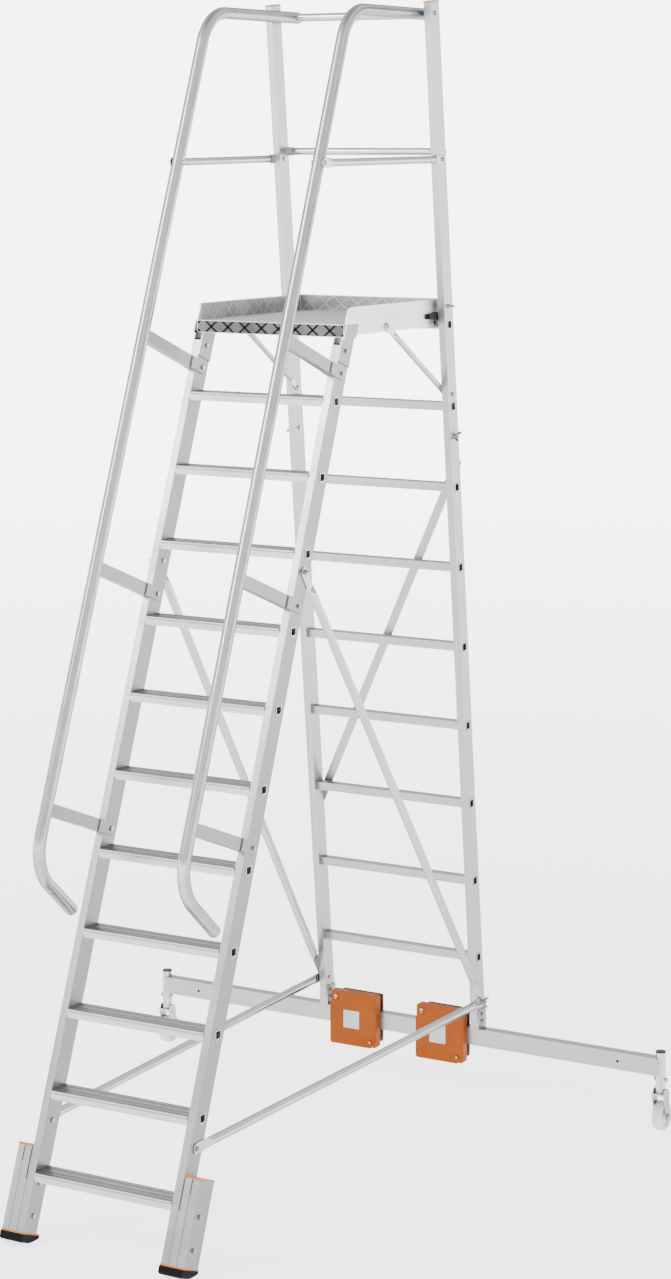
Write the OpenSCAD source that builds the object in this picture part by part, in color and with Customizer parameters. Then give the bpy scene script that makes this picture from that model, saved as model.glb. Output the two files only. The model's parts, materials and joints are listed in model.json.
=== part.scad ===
// Mobile ladder stand: a stair of treads between two sloping stiles, a railed deck on
// top, a tall rear frame with square rungs, and a wide rear beam on two swivel castors.
// +Z up, the climber comes from -Y, left is -X. The origin is on the floor under the
// middle of the stand's bounding box.

/* [Front stair] */
// Slope of the front stiles against the floor, degrees
front_angle = 69; // [68:0.5:70]
// Inner faces of the two front stiles are this far apart
stair_w = 500; // [480:5:520]
// Width of a front stile, side to side
stile_w = 25; // [22:1:28]
// Depth of a front stile, front to back
stile_d = 73; // [68:1:76]
// Wall of every stile section
stile_wall = 2.2; // [1.8:0.2:3]
// Distance between two treads, along the stiles
tread_pitch = 250; // [246:1:252]
// Height of a tread, top to underside
tread_h = 27; // [24:1:30]
// Depth of a tread, nose to back
tread_d = 80; // [76:1:84]

/* [Rear frame] */
// Slope of the rear stiles against the floor, degrees
rear_angle = 84; // [83.5:0.5:84.5]
// Floor distance between the front and the rear stile lines
base_depth = 1953.8; // [1940:1:1960]
// Inner faces of the two rear stiles are this far apart
rear_w = 586; // [584:1:590]
// Depth of a rear stile, front to back
post_d = 60; // [56:1:62]
// Distance between two rear rungs, along the stiles
rung_pitch = 280; // [278:1:281]
// Outer side of a square rung
rung_side = 28; // [26:1:30]

/* [Deck] */
// Height of the deck's walking face
deck_z = 2774; // [2772:1:2776]
// Length of the deck, front to back
deck_l = 664; // [660:1:668]
// Height of the boards round the deck, above the walking face
board_h = 55; // [50:1:60]

/* [Rails and braces] */
// Diameter of the handrail tube
rail_dia = 40; // [38:1:42]
// Distance from the front stile line to the handrail, at right angles to it
rail_gap = 350; // [345:1:355]
// Diameter of the guard rails at half height
mid_dia = 25; // [22:1:28]
// Diameter of the four brace tubes
brace_dia = 28; // [26:1:30]
// Diameter of the two deck struts
strut_dia = 19; // [16:1:20]

/* [Beam and castors] */
// Length of the rear beam, between the castor tube axes
beam_l = 2000; // [1900:10:2100]
// Depth and height of the beam section
beam_d = 40; // [38:1:42]
beam_h = 60; // [56:1:62]
// Outside diameter of a castor tube
castor_tube_dia = 34; // [33:1:36]
// Diameter of a castor wheel
wheel_dia = 100; // [96:2:102]
// Tread width of a castor wheel
wheel_w = 34; // [28:1:36]
// Running clearance of pins, axles and wing nuts, on the radius
running_gap = 0.05; // [0.02:0.01:0.08]

/* [Ballast] */
// Width, height and thickness of one ballast block
ballast_w = 190; // [180:5:200]
ballast_h = 195; // [185:5:200]
ballast_t = 28.7; // [26:0.1:28.7]

/* [Hidden] */
$fn = 48;
big = 6000;

tread_count = 11;

// Sides: left is -1, right is +1.
stile_in = stair_w / 2;
stile_out = stile_in + stile_w;
post_in = rear_w / 2;
post_out = post_in + stile_w;

// The shoe reaches this far in front of and behind the front stile line, at right angles to it.
shoe_front = 39.4;
shoe_back = 52;
// Its sole starts this far up the stile line and its toe is rounded to this radius.
shoe_s0 = 2;
toe_r = 7;
// The wheels trail this far behind their stems.
castor_trail = 12;
// The beam's centre line stands this far in front of the rear stile line on the floor.
beam_back = 25.8;
front_over = (shoe_front - toe_r) * sin(front_angle) - (shoe_s0 + toe_r) * cos(front_angle) + toe_r;
rear_over = wheel_dia / 2 - beam_back + castor_trail;
front_y = -(front_over + base_depth + rear_over) / 2 + front_over;
rear_y = front_y + base_depth;
beam_y = rear_y - beam_back;
wheel_y = beam_y + castor_trail;

// Treads, rungs and stile ends, measured along their stile from the floor.
first_tread_s = 212.5;
tread_set_back = 4.5;
first_rung_s = 518.1;
rung_count = 9;
front_top_z = 2711;
front_bottom_s = 14;
post_top_s = 3837;

// Deck and its boards.
deck_y0 = front_y + 1023;
deck_y1 = deck_y0 + deck_l;
deck_t = 4;
board_t = 5;
board_in = 277;
board_out = board_in + board_t;
board_top = deck_z + board_h;
// Underside of the cross rails, and how far the deck plate stops short of its back board.
cross_z = 2733;
back_gap = 0.05;

// Rear beam.
beam_z1 = 254.3;
beam_z0 = beam_z1 - beam_h;
beam_wall = 3;
tube_x = beam_l / 2;
tube_r = castor_tube_dia / 2;
tube_z0 = 140;
tube_z1 = 273.7;
post_bottom_z = beam_z1 + 4;

// Bolts: shank radius, hexagon head and nut.
shank_r = 4;
hole_r = 4.3;
hex_r = 7.5;
head_h = 5;
tab_t = 4;
// Drain holes keep closed tubes dry.
drain_r = 2.5;

// Where bolts cross the front stiles: [along the stile, first x, last x].
bracket_s = [1283, 2045, 2807];
low_bolt_s = 375;
diagonal_bolt_s = 2155;
cheek_bolt_s = 2882;
sleeve_bolts = [85, 183];
// Where bolts cross the rear stiles.
brace_bolt_s = 355;
wing_bolt_s = 2375;
clip_bolt_s = 2821;
strut_bolt_s = 2519;
mid_bolt_s = 3316;
rail_bolt_s = 3800;
socket_bolts = [284, 309];
// Diagonal bar on the back of the rear frame: its ends, along the stiles.
bar_high_s = 2276;
bar_low_s = 1018;
// Rear guard rail at half height, along the stiles.
rear_mid_s = 3338;

// Handrail bends, along the front stile line.
rail_x = 262;
rail_r = rail_dia / 2;
low_bend_r = 145;
low_bend_angle = 70;
low_bend_s = 1199.5;
low_end_l = 160;
top_bend_r = 147;
top_bend_s = 3811.3;
top_end_l = 467.7;
rail_wall = 2.5;
rail_lap = 1.5;
rail_hair = 0.15;

// Guard rail bolt on the handrail.
mid_front_y = front_y + 888;
mid_front_z = 3290;
// Crossbar between the handrails.
crossbar_y = front_y + 1619;
// Strut bolt on the deck's side board.
strut_y = front_y + 1291;
strut_z = 2757;

// Latch: hinge pin and rest pin on the deck's side board.
latch_pin_y = front_y + 1572;
latch_pin_z = 2773;
rest_pin_y = front_y + 1608;
rest_pin_z = 2752;
latch_x0 = board_out + 1;
latch_t = 8;

// Castor stem, axle and fork.
stem_r = 6;
axle_r = 6;
fork_in = 19;
fork_t = 4;
crown_z = 127;
crown_t = 6;
// The cheeks rise this far past the crown, beside the tube.
ear_h = 20;
stem_top_z = 163;

// Ballast: screws and the label's recess are placed from the middle of a block's foot.
ballast_x = 174.5;
ballast_z0 = 127;
ballast_screws = [[-70, ballast_h - 23], [70, 23]];
label_at = [-8, 95];
label_l = 66;

// Foot sleeve.
sleeve_out = 330;
sleeve_s0 = 33;
sleeve_s1 = 288;
sleeve_front = 36.5;
sleeve_back = 49;
sleeve_wall = 2.5;

function unit(v) = v / norm(v);
// A polygon's corner points [x, y, r] rounded to their own radii.
function rounded(pts, steps = 6) = [
    for (i = [0:len(pts) - 1])
        let (n = len(pts),
             p = [pts[i][0], pts[i][1]],
             a = [pts[(i + n - 1) % n][0], pts[(i + n - 1) % n][1]],
             b = [pts[(i + 1) % n][0], pts[(i + 1) % n][1]],
             u = unit(a - p), v = unit(b - p),
             half = acos(u * v) / 2, r = pts[i][2],
             c = p + unit(u + v) * r / sin(half),
             s = p + u * r / tan(half) - c, e = p + v * r / tan(half) - c,
             turn = 180 - 2 * half)
        each [for (k = [0:steps])
            c + (sin(turn * (1 - k / steps)) * s + sin(turn * k / steps) * e) / sin(turn)]];
function box_pts(x0, y0, x1, y1, r) = [[x0, y0, r], [x1, y0, r], [x1, y1, r], [x0, y1, r]];

// Points on the two stile lines; "off" is measured towards the climber.
function on_front_y(s, off = 0) = front_y + s * cos(front_angle) - off * sin(front_angle);
function on_front_z(s, off = 0) = s * sin(front_angle) + off * cos(front_angle);
function on_rear_y(s) = rear_y - s * cos(rear_angle);
function on_rear_z(s) = s * sin(rear_angle);
function tread_s(k) = first_tread_s + tread_pitch * (k - 1);
function rung_s(k) = first_rung_s + rung_pitch * (k - 1);

// Frames whose z runs up a stile and whose y points to the rear.
module front_frame() translate([0, front_y, 0]) rotate([front_angle - 90, 0, 0]) children();
module rear_frame() translate([0, rear_y, 0]) rotate([90 - rear_angle, 0, 0]) children();
module on_side(side) mirror([side < 0 ? 1 : 0, 0, 0]) children();
module both_sides() { children(); mirror([1, 0, 0]) children(); }
// Turns a drawing in x and y into one in y and z, raised along x.
module yz() rotate([90, 0, 90]) children();
module box(x0, y0, z0, x1, y1, z1) translate([x0, y0, z0]) cube([x1 - x0, y1 - y0, z1 - z0]);
module rod_x(x0, x1, r) translate([x0, 0, 0]) rotate([0, 90, 0]) cylinder(h = x1 - x0, r = r);
module rod_y(y0, y1, r) translate([0, y0, 0]) rotate([-90, 0, 0]) cylinder(h = y1 - y0, r = r);
module hex_x(x0, x1) translate([x0, 0, 0]) rotate([0, 90, 0]) cylinder(h = x1 - x0, r = hex_r, $fn = 6);

// ---- Front stair ----

// Outline of a tread's hollow spine, grown by g.
module spine_outline(g = 0) {
    w = 15 + g;
    h = tread_h / 2 + g;
    polygon(rounded([[-w, -h, 4 + g], [w, -h, 10 + g], [w, h, 3 + g], [-w, h, 3 + g]], 5));
}

// Raises a profile drawn in y and z along x, at a tread's place.
module at_tread(k, x0, x1) {
    s = tread_s(k);
    translate([x0, on_front_y(s), on_front_z(s)]) yz() linear_extrude(x1 - x0) children();
}

module tread_profile() {
    nose = -tread_d / 2;
    top = tread_h / 2;
    plate = 4.5;
    lip = 3.5;
    rib_pitch = 8;
    difference() {
        union() {
            translate([nose, top - plate]) square([tread_d, plate]);
            translate([nose, -top]) square([lip, tread_h]);
            translate([nose, -top]) square([9, 2.5]);
            translate([tread_d / 2 - lip, -2]) square([lip, top + 2]);
            translate([tread_set_back, 0]) spine_outline();
        }
        for (y = [nose + 8 : rib_pitch : tread_d / 2 - 5])
            translate([y, top - 1.3]) square([2.6, 2]);
        translate([nose - 1, top - 9]) square([2.6, 4.5]);
    }
}

module tread(k) {
    bead = 1.5;
    color([0.78, 0.79, 0.8]) difference() {
        union() {
            at_tread(k, -stile_in, stile_in) tread_profile();
            at_tread(k, -stile_out - bead, stile_out + bead)
                translate([tread_set_back, 0]) spine_outline();
            both_sides() at_tread(k, stile_out, stile_out + bead)
                translate([tread_set_back, 0]) spine_outline(2);
        }
        at_tread(k, -stile_out - 5, stile_out + 5)
            translate([tread_set_back, 0]) spine_outline(-2);
    }
}

module front_bolt_holes() {
    for (s = concat(bracket_s, sleeve_bolts, [low_bolt_s, diagonal_bolt_s, cheek_bolt_s]))
        front_frame() translate([0, 0, s]) rod_x(stile_in - 10, sleeve_out + 10, hole_r);
}

module front_stile(side) {
    w = stile_wall;
    h = stile_d / 2;
    color([0.74, 0.75, 0.76]) on_side(side) difference() {
        intersection() {
            front_frame() difference() {
                box(stile_in, -h, front_bottom_s, stile_out, h, big / 2);
                box(stile_in + w, -h + w, 0, stile_out - w, h - w, big / 2 + 1);
            }
            box(0, -big / 2, 0, big, big / 2, front_top_z);
        }
        for (k = [1:tread_count])
            at_tread(k, stile_in - 1, stile_out + 1)
                translate([tread_set_back, 0]) spine_outline(0.1);
        front_bolt_holes();
    }
}

// ---- Feet ----

// The sleeve beside the stile: two chambers, open slots in its front face.
module foot_sleeve(side) {
    w = sleeve_wall;
    mid = (stile_out + sleeve_out) / 2;
    groove = 1.2;
    color([0.76, 0.77, 0.78]) on_side(side) difference() {
        front_frame() difference() {
            box(stile_out, -sleeve_front, sleeve_s0, sleeve_out, sleeve_back, sleeve_s1);
            box(stile_out + w, -sleeve_front + w, 0, mid - w / 2, sleeve_back - w, sleeve_s1 + 1);
            box(mid + w / 2, -sleeve_front + w, 0, sleeve_out - w, sleeve_back - w, sleeve_s1 + 1);
            box(stile_out + w, -sleeve_front - 1, 191, stile_out + w + 3, -sleeve_front + w + 1,
                sleeve_s1 + 1);
            box(mid + 2, -sleeve_front - 1, 242, mid + 5, -sleeve_front + w + 1, sleeve_s1 + 1);
            for (x = [stile_out, mid + 2.5])
                box(x - 1, -sleeve_front - 1, 0, x + 2, -sleeve_front + groove, sleeve_s1 + 1);
        }
        front_bolt_holes();
        at_tread(1, stile_out - 1, stile_out + 8)
            translate([tread_set_back, 0]) spine_outline(3);
    }
}

// Coloured covers on top of the sleeves and coloured seams over the shoes.
module foot_trims() {
    cap_t = 6;
    seam_t = 5;
    color([0.80, 0.40, 0.15]) both_sides() front_frame() {
        box(stile_out, -sleeve_front - 1, sleeve_s1, sleeve_out + 1, sleeve_back + 1,
            sleeve_s1 + cap_t);
        difference() {
            box(stile_in - 1, -shoe_front + 1, sleeve_s0 - seam_t, sleeve_out + 1, shoe_back - 1,
                sleeve_s0);
            box(stile_in, -stile_d / 2, 0, stile_out, stile_d / 2, sleeve_s0 + 1);
        }
    }
}

module foot_shoe(side) {
    top_s = sleeve_s0 - 5;
    color([0.13, 0.13, 0.14]) on_side(side) difference() {
        intersection() {
            front_frame() translate([stile_in - 10, 0, 0]) yz() linear_extrude(200)
                polygon(rounded([[-shoe_front, shoe_s0, toe_r], [shoe_back, shoe_s0, 2],
                                 [shoe_back, top_s, 3], [-shoe_front, top_s, 3]], 12));
            front_frame() translate([0, 100, 0]) rotate([90, 0, 0]) linear_extrude(200)
                polygon(rounded([[stile_in - 3, shoe_s0 - 0.4, 8], [sleeve_out + 2, shoe_s0 - 0.4, 8],
                                 [sleeve_out + 2, 60, 1], [stile_in - 3, 60, 1]], 4));
            translate([0, front_y, 0]) yz() linear_extrude(big)
                polygon(rounded([[-60, 0, 1], [58, 0, 9], [58, 100, 1], [-60, 100, 1]], 4));
        }
        front_frame() box(stile_in, -stile_d / 2, front_bottom_s, stile_out, stile_d / 2, 100);
    }
}

// ---- Rear frame ----

module rung_section(side_l, x0, x1) box(x0, -side_l / 2, -side_l / 2, x1, side_l / 2, side_l / 2);

module at_rungs() for (k = [1:rung_count]) rear_frame() translate([0, 0, rung_s(k)]) children();

module rear_rungs() {
    bead = 1.2;
    color([0.74, 0.75, 0.76]) at_rungs() difference() {
        union() {
            rung_section(rung_side, -post_out - bead, post_out + bead);
            both_sides() rung_section(rung_side + 4, post_out, post_out + bead);
        }
        rung_section(rung_side - 4, -post_out - 5, post_out + 5);
    }
}

module rear_bolt_holes() {
    rear_frame() {
        for (s = concat([brace_bolt_s, wing_bolt_s, clip_bolt_s, strut_bolt_s, mid_bolt_s,
                         rail_bolt_s], socket_bolts))
            translate([0, 0, s]) rod_x(post_in - 10, post_out + 20, hole_r);
    }
}

module rear_stile(side) {
    w = stile_wall;
    h = post_d / 2;
    mid = (post_in + post_out) / 2;
    color([0.74, 0.75, 0.76]) difference() {
        on_side(side) intersection() {
            rear_frame() difference() {
                box(post_in, -h, 100, post_out, h, post_top_s);
                box(post_in + w, -h + w, 0, post_out - w, h - w, post_top_s + 1);
                for (k = [1:rung_count])
                    translate([0, 0, rung_s(k)])
                        rung_section(rung_side + 0.2, post_in - 1, post_out + 1);
            }
            box(0, -big / 2, post_bottom_z, big, big / 2, big);
        }
        on_side(side) rear_bolt_holes();
        rear_frame() {
            translate([side * mid, 0, side > 0 ? bar_high_s : bar_low_s]) rod_y(0, h + 1, hole_r);
            translate([side * mid, 0, rear_mid_s]) rod_y(0, h + 1, hole_r);
        }
    }
}

module post_caps() {
    w = stile_wall + 0.2;
    h = post_d / 2;
    color([0.80, 0.40, 0.15]) both_sides() rear_frame() {
        box(post_in - 1, -h - 1, post_top_s, post_out + 1, h + 1, post_top_s + 5);
        box(post_in + w, -h + w, post_top_s - 14, post_out - w, h - w, post_top_s + 1);
    }
}

// Flat bar from high on the right stile to low on the left stile.
module rear_diagonal_bar() {
    bar_w = 30;
    mid = (post_in + post_out) / 2;
    rise = bar_high_s - bar_low_s;
    color([0.70, 0.71, 0.72]) rear_frame()
        translate([-mid, post_d / 2 + tab_t, bar_low_s]) rotate([90, 0, 0]) linear_extrude(tab_t)
        rotate(atan2(rise, 2 * mid)) difference() {
            union() {
                circle(d = bar_w);
                translate([norm([rise, 2 * mid]), 0]) circle(d = bar_w);
                translate([0, -bar_w / 2]) square([norm([rise, 2 * mid]), bar_w]);
            }
            circle(r = hole_r);
            translate([norm([rise, 2 * mid]), 0]) circle(r = hole_r);
        }
}

// ---- Deck ----

module deck() {
    fold_h = 40;
    color([0.72, 0.73, 0.74]) {
        box(-board_in, deck_y0, deck_z - deck_t, board_in, deck_y1 - back_gap, deck_z);
        box(-board_in, deck_y0, deck_z - fold_h, board_in, deck_y0 + deck_t, deck_z - deck_t);
    }
}

// A channel, open below, over a box from low to high whose top is shut.
module channel(low, high, wall = 3) difference() {
    box(low[0], low[1], low[2], high[0], high[1], high[2]);
    box(low[0] + wall, low[1] + wall, low[2] - 1, high[0] - wall, high[1] - wall, high[2] - wall);
}

// Cross rails on the cheeks and on the top rung, with ribs between them.
module deck_stiffeners() {
    top = deck_z - deck_t;
    rail_d = 42;
    rib_h = 24;
    rib_w = 30;
    rail_x_end = board_in - 1;
    front_y1 = deck_y0 + deck_t + rail_d;
    seat_y = on_rear_y(rung_s(rung_count));
    color([0.68, 0.69, 0.70]) difference() {
        union() {
            channel([-rail_x_end, deck_y0 + deck_t, cross_z], [rail_x_end, front_y1, top]);
            channel([-rail_x_end, seat_y - 34, top - rib_h], [rail_x_end, seat_y + 19, top], 4);
            for (x = [-150, 0, 150])
                channel([x - rib_w / 2, front_y1 - 2, top - rib_h],
                        [x + rib_w / 2, seat_y - 32, top]);
        }
        rear_frame() translate([0, 0, rung_s(rung_count)])
            rung_section(rung_side + 0.4, -big, big);
    }
}

// Side board: a slanted nose, a shallow groove outside, notched over the top rung.
module deck_side(side) {
    low = deck_z - 36;
    y1 = deck_y1;
    color([0.73, 0.74, 0.75]) on_side(side) difference() {
        translate([board_in, 0, 0]) yz() linear_extrude(board_t)
            polygon(rounded([[deck_y0 + 1, low, 1], [y1 - 180, low, 1], [y1 - 177, low - 3, 1],
                             [y1, low - 3, 2], [y1, board_top, 2],
                             [deck_y0 + 26, board_top, 14], [deck_y0 + 5, deck_z + 3, 3]], 5));
        box(board_out - 1.2, deck_y0, deck_z + 12, board_out + 1, y1, deck_z + 16);
        rear_frame() translate([0, 0, rung_s(rung_count)])
            rung_section(rung_side + 0.4, -big, big);
        translate([0, strut_y, strut_z]) rod_x(board_in - 1, board_out + 1, hole_r);
        translate([0, latch_pin_y, latch_pin_z]) rod_x(board_in - 1, board_out + 1, hole_r);
        translate([0, rest_pin_y, rest_pin_z]) rod_x(board_in - 1, board_out + 1, hole_r);
    }
}

module deck_back_board() {
    color([0.73, 0.74, 0.75]) translate([-board_out, deck_y1 + board_t, 0])
        rotate([90, 0, 0]) linear_extrude(board_t)
        polygon(rounded(box_pts(0, deck_z - 46, 2 * board_out, board_top, 4), 4));
}

// Plates that clasp the tops of the front stiles. The outer one steps out under the side
// board and goes on up its face to the deck's level.
module deck_cheeks() {
    low_s = 2838;
    step_t = 5;
    h = stile_d / 2;
    far = big / 2;
    color([0.73, 0.74, 0.75]) both_sides() difference() {
        intersection() {
            front_frame() box(0, -h, low_s, far, h, far);
            union() {
                box(stile_in - tab_t, -far, 0, stile_in, far, cross_z);
                box(stile_out, -far, 0, stile_out + tab_t, far, cross_z);
                box(stile_out, -far, cross_z - step_t, board_out + tab_t, far, cross_z);
                box(board_out, -far, cross_z - step_t, board_out + tab_t, far, deck_z - 1);
            }
        }
        front_bolt_holes();
    }
}

// ---- Tubes with flattened, bolted ends ----

// A tube from p to q whose ends are pressed flat across x, over lengths a and b.
module flat_end_tube(p, q, dia, a, b) {
    d = q - p;
    run = norm(d);
    yaw = asin(d[0] / run);
    press = dia * 0.9;
    flat = tab_t / 2;
    full = dia / 2 + 4;
    end = d[0];
    past = dia * 0.55;
    side = [[flat, -past], [flat, a], [full, a + press], [full + end, run - b - press],
            [end + flat, run - b], [end + flat, run + past]];
    other = [[end - flat, run + past], [end - flat, run - b], [end - full, run - b - press],
             [-full, a + press], [-flat, a], [-flat, -past]];
    module aim() translate(p) rotate([atan2(d[2], d[1]) - 90, 0, 0]) children();
    difference() {
        aim() intersection() {
            rotate([0, yaw, 0]) translate([0, 0, -dia]) cylinder(h = run + 2 * dia, d = dia);
            rotate([90, 0, 0]) translate([0, 0, -dia]) linear_extrude(2 * dia)
                polygon(concat(side, other));
        }
        aim() rotate([0, yaw, 0]) {
            translate([0, 0, a + press + 2]) cylinder(h = run - a - b - 2 * press - 4, d = dia - 4);
            for (z = [a + press + 12, run - b - press - 12])
                translate([0, 0, z]) rod_y(-dia, 0, drain_r);
        }
        translate(p) rod_x(-big, big, hole_r);
        translate(q) rod_x(-big, big, hole_r);
    }
}

module deck_struts() {
    color([0.80, 0.81, 0.82]) both_sides() flat_end_tube(
        [board_out + tab_t / 2, strut_y, strut_z],
        [post_in - tab_t / 2, on_rear_y(strut_bolt_s), on_rear_z(strut_bolt_s)],
        strut_dia, 52, 48);
}

module low_braces() {
    color([0.80, 0.81, 0.82]) both_sides() flat_end_tube(
        [stile_out + tab_t / 2, on_front_y(low_bolt_s), on_front_z(low_bolt_s)],
        [post_out + tab_t * 1.5, on_rear_y(brace_bolt_s), on_rear_z(brace_bolt_s)],
        brace_dia, 50, 40);
}

module diagonal_braces() {
    color([0.80, 0.81, 0.82]) both_sides() flat_end_tube(
        [stile_out + tab_t / 2, on_front_y(diagonal_bolt_s), on_front_z(diagonal_bolt_s)],
        [post_out + tab_t / 2, on_rear_y(brace_bolt_s), on_rear_z(brace_bolt_s)],
        brace_dia, 62, 92);
}

// Guard rails at half height: one outside each handrail, one behind the rear frame.
module mid_rails() {
    mid = (post_in + post_out) / 2;
    back = post_d / 2 + tab_t / 2;
    color([0.80, 0.81, 0.82]) {
        both_sides() flat_end_tube(
            [rail_x + rail_r + tab_t / 2, mid_front_y, mid_front_z],
            [post_out + tab_t / 2, on_rear_y(mid_bolt_s), on_rear_z(mid_bolt_s)],
            mid_dia, 24, 40);
        rear_frame() translate([0, 0, rear_mid_s]) rotate([0, 0, 90])
            flat_end_tube([back, -mid, 0], [back, mid, 0], mid_dia, 18, 18);
    }
}

// ---- Handrails ----

// A straight stretch of handrail tube along y, pushed a little into the bends at its ends,
// and a bend about z, drawn thinner by a hair so that the stretches close over it.
module rail_straight(l, before = rail_lap, after = rail_lap)
    translate([0, -before, 0]) rotate([-90, 0, 0]) difference() {
        cylinder(h = l + before + after, r = rail_r);
        translate([0, 0, -1]) cylinder(h = l + before + after + 2, r = rail_r - rail_wall);
    }
module rail_bend(bend_r, angle) rotate_extrude(angle = angle) translate([bend_r, 0]) difference() {
    circle(r = rail_r - rail_hair);
    circle(r = rail_r - rail_wall + rail_hair);
}

// The bent tube, in the frame of the front stiles.
module rail_tube() {
    low = [low_bend_r - rail_gap, low_bend_s];
    top = [top_bend_r - rail_gap, top_bend_s];
    low_turn = 180 + low_bend_angle;
    top_turn = 180 - front_angle;
    yz() {
        translate([-rail_gap, low_bend_s, 0]) rail_straight(top_bend_s - low_bend_s);
        translate(low) rotate(180) rail_bend(low_bend_r, low_bend_angle);
        translate(low + low_bend_r * [cos(low_turn), sin(low_turn)])
            rotate(low_turn) rail_straight(low_end_l, rail_lap, 0);
        translate(top) rotate(top_turn) rail_bend(top_bend_r, front_angle);
        translate(top + top_bend_r * [cos(top_turn), sin(top_turn)])
            rotate(top_turn + 180) rail_straight(top_end_l, rail_lap, 0);
    }
}

module rail_holes() {
    translate([0, mid_front_y, mid_front_z]) rod_x(rail_x - 30, rail_x + 30, hole_r);
    translate([0, crossbar_y, crossbar_z()]) rod_x(rail_x - 60, rail_x + 30, hole_r);
    rear_frame() translate([0, 0, rail_bolt_s]) rod_x(rail_x - 30, rail_x + 30, hole_r);
}

// Height of the handrails' level stretch.
function crossbar_z() = on_front_z(top_bend_s, rail_gap - top_bend_r) + top_bend_r;

module handrail(side) {
    color([0.82, 0.83, 0.84]) on_side(side) difference() {
        front_frame() translate([rail_x, 0, 0]) rail_tube();
        rail_holes();
    }
}

// Arm from a forked foot on the stile to a saddle on the handrail.
module handrail_brackets() {
    arm_h = 40;
    h = stile_d / 2;
    saddle = rail_r + 7.5;
    color([0.76, 0.77, 0.78]) both_sides() for (s = bracket_s)
        front_frame() translate([0, 0, s]) difference() {
            union() {
                box(stile_in - tab_t, -h - 30, -arm_h / 2, stile_out + tab_t, 15, arm_h / 2);
                box(stile_in, -rail_gap, -arm_h / 2, stile_out, -h, arm_h / 2);
            }
            box(stile_in, -h, -arm_h, stile_out, 16, arm_h);
            translate([rail_x, -rail_gap, -arm_h]) cylinder(h = 2 * arm_h, r = rail_r + 0.2);
            box(stile_in + 2.5, -rail_gap + saddle, -arm_h / 2 + 2.5,
                stile_out - 2.5, 1 - h, arm_h / 2 - 2.5);
            rod_x(0, big, hole_r);
        }
}

module top_crossbar() {
    bar_r = 14;
    color([0.80, 0.81, 0.82]) difference() {
        translate([0, crossbar_y, crossbar_z()]) rod_x(-rail_x, rail_x, bar_r);
        translate([0, crossbar_y, crossbar_z()]) rod_x(-rail_x + 40, rail_x - 40, bar_r - 2);
        both_sides() translate([rail_x, crossbar_y, crossbar_z()])
            rod_y(-100, 100, rail_r + 0.1);
        both_sides() rail_holes();
    }
}

// ---- Rear beam, sockets, castors ----

module traverse_beam() {
    accessory_x = 848;
    accessory_z = 223;
    w = beam_wall;
    h = beam_d / 2;
    color([0.72, 0.73, 0.74]) translate([0, beam_y, 0]) difference() {
        box(-tube_x, -h, beam_z0, tube_x, h, beam_z1);
        box(-tube_x - 1, -h + w, beam_z0 + w, tube_x + 1, h - w, beam_z1 - w);
        both_sides() {
            translate([tube_x, 0, 0]) cylinder(h = big, r = tube_r + 0.1);
            box(tube_x, -h - 1, 0, tube_x + 30, h + 1, big);
            translate([accessory_x, 0, accessory_z]) rod_y(-h - 1, h + 1, 5);
        }
    }
}

// Channels on the beam that clasp the lower ends of the rear stiles.
module stile_sockets() {
    h = post_d / 2 - 2;
    y = on_rear_y(290);
    color([0.76, 0.77, 0.78]) both_sides() difference() {
        union() {
            box(post_in - tab_t, y - h, beam_z1, post_out + tab_t, y + h, beam_z1 + tab_t);
            box(post_in - tab_t, y - h, beam_z1, post_in, y + h, 325);
            box(post_out, y - h, beam_z1, post_out + tab_t, y + h, 325);
        }
        rear_bolt_holes();
    }
}

module castor_tubes() {
    color([0.76, 0.77, 0.78]) both_sides() translate([tube_x, beam_y, 0]) difference() {
        translate([0, 0, tube_z0]) cylinder(h = tube_z1 - tube_z0, r = tube_r);
        translate([0, 0, tube_z0 - 1]) cylinder(h = tube_z1, r = tube_r - 3);
        translate([0, 0, 180]) rod_x(-30, 30, hole_r);
    }
}

// Plug in the tube's foot: a plain bore for the stem and a chamber for its head.
module castor_plugs() {
    color([0.35, 0.36, 0.38]) both_sides() translate([tube_x, beam_y, 0]) difference() {
        union() {
            translate([0, 0, tube_z0 - 5]) cylinder(h = 5, r = tube_r);
            translate([0, 0, tube_z0 - 1]) cylinder(h = 62, r = tube_r - 3.1);
        }
        cylinder(h = 159, r = stem_r + running_gap);
        translate([0, 0, stem_top_z - 5]) cylinder(h = 8, r = 9.5);
        translate([0, 0, 180]) rod_x(-30, 30, hole_r);
    }
}

module castor_caps() {
    color([0.12, 0.12, 0.13]) both_sides() translate([tube_x, beam_y, 0]) {
        translate([0, 0, tube_z1]) cylinder(h = 4, r = tube_r + 0.8);
        translate([0, 0, tube_z1 - 14]) cylinder(h = 15, r = tube_r - 3.1);
    }
}

// One cheek of the fork, drawn about the axle in y and z.
module cheek_outline() {
    crown_half = 22;
    lift = crown_z - wheel_dia / 2;
    circle(r = 13);
    polygon([[-13, -2], [13, 0], [crown_half - castor_trail, lift],
             [12 - castor_trail, lift + ear_h], [-12 - castor_trail, lift + ear_h],
             [-crown_half - castor_trail, lift]]);
}

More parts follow.
